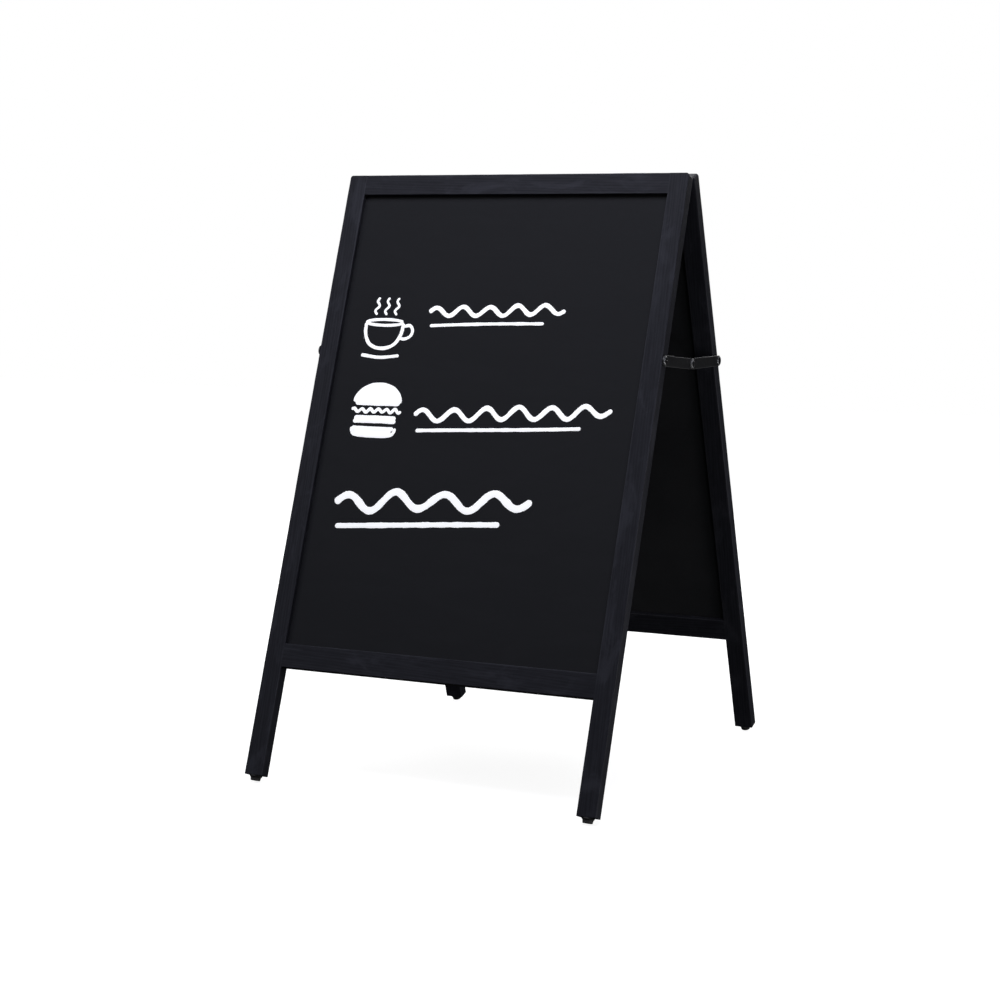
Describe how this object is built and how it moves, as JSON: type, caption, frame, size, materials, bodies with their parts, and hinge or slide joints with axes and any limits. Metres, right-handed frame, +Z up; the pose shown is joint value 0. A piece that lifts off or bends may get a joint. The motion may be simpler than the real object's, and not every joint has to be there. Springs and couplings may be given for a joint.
{
  "type": "chalkboard easel",
  "caption": "Folding A-frame chalkboard easel: black wooden boards hinged at the top, steel writing faces, folding side stays and rubber feet.",
  "frame": {"origin": "on the floor, below the hinge axis, midway between the sides", "axes": "+X across the board to the viewer's right, +Y from the front board towards the rear board, +Z up"},
  "size_m": [0.6798, 0.8108, 1.0629],
  "materials": {
    "stained_wood": "black stain, satin, fine open grain",
    "chalkboard": "matte black chalkboard lacquer on thin steel",
    "core_board": "smooth black fibreboard",
    "dowel_wood": "raw beech",
    "rubber": "matte black moulded rubber",
    "black_steel": "satin black, worn at the edges",
    "zinc_steel": "bright zinc plate"
  },
  "bodies": {
    "front_frame": {"front_left_stile": "stained_wood", "front_right_stile": "stained_wood", "front_top_rail": "stained_wood", "front_bottom_rail": "stained_wood", "front_dowels": "dowel_wood", "front_core_panel": "core_board", "front_writing_sheet": "chalkboard", "front_left_foot": "rubber", "front_right_foot": "rubber", "front_foot_screws": "zinc_steel", "front_hinge_leaf_left": "zinc_steel", "front_hinge_leaf_right": "zinc_steel", "front_hinge_screws": "zinc_steel", "front_stay_washers": "black_steel", "front_stay_screws": "black_steel", "hinge_pin_left": "zinc_steel", "hinge_pin_right": "zinc_steel"},
    "rear_frame": {"rear_left_stile": "stained_wood", "rear_right_stile": "stained_wood", "rear_top_rail": "stained_wood", "rear_bottom_rail": "stained_wood", "rear_dowels": "dowel_wood", "rear_core_panel": "core_board", "rear_writing_sheet": "chalkboard", "rear_left_foot": "rubber", "rear_right_foot": "rubber", "rear_foot_screws": "zinc_steel", "rear_hinge_leaf_left": "zinc_steel", "rear_hinge_leaf_right": "zinc_steel", "rear_hinge_screws": "zinc_steel", "rear_stay_spacers": "black_steel", "rear_stay_screws": "black_steel"},
    "left_front_link": {"left_stay_front_link": "black_steel", "left_stay_rivet_tail": "black_steel"},
    "left_rear_link": {"left_stay_rear_link": "black_steel", "left_stay_rivet_head": "black_steel"},
    "right_front_link": {"right_stay_front_link": "black_steel", "right_stay_rivet_tail": "black_steel"},
    "right_rear_link": {"right_stay_rear_link": "black_steel", "right_stay_rivet_head": "black_steel"}
  },
  "joints": [
    {"name": "fold", "type": "hinge", "parent": "front_frame", "child": "rear_frame", "pos_m": [0, 0, 1.05814], "axis": [1, 0, 0], "range_deg": [-40, 0]},
    {"name": "left_front_stay_pivot", "type": "hinge", "parent": "front_frame", "child": "left_front_link", "pos_m": [-0.3325, -0.13008, 0.74313], "axis": [1, 0, 0], "range_deg": [0, 68.5]},
    {"name": "left_rear_stay_pivot", "type": "hinge", "parent": "rear_frame", "child": "left_rear_link", "pos_m": [-0.3325, 0.13385, 0.73279], "axis": [1, 0, 0], "range_deg": [-64.1, 0]},
    {"name": "right_front_stay_pivot", "type": "hinge", "parent": "front_frame", "child": "right_front_link", "pos_m": [0.3325, -0.13008, 0.74313], "axis": [1, 0, 0], "range_deg": [0, 68.5]},
    {"name": "right_rear_stay_pivot", "type": "hinge", "parent": "rear_frame", "child": "right_rear_link", "pos_m": [0.3325, 0.13385, 0.73279], "axis": [1, 0, 0], "range_deg": [-64.1, 0]}
  ],
  "couplings": [
    {"joint": "left_front_stay_pivot", "follows": "fold", "ratio": -1.7069},
    {"joint": "left_rear_stay_pivot", "follows": "fold", "ratio": 1.5973},
    {"joint": "right_front_stay_pivot", "follows": "fold", "ratio": -1.7069},
    {"joint": "right_rear_stay_pivot", "follows": "fold", "ratio": 1.5973}
  ]
}
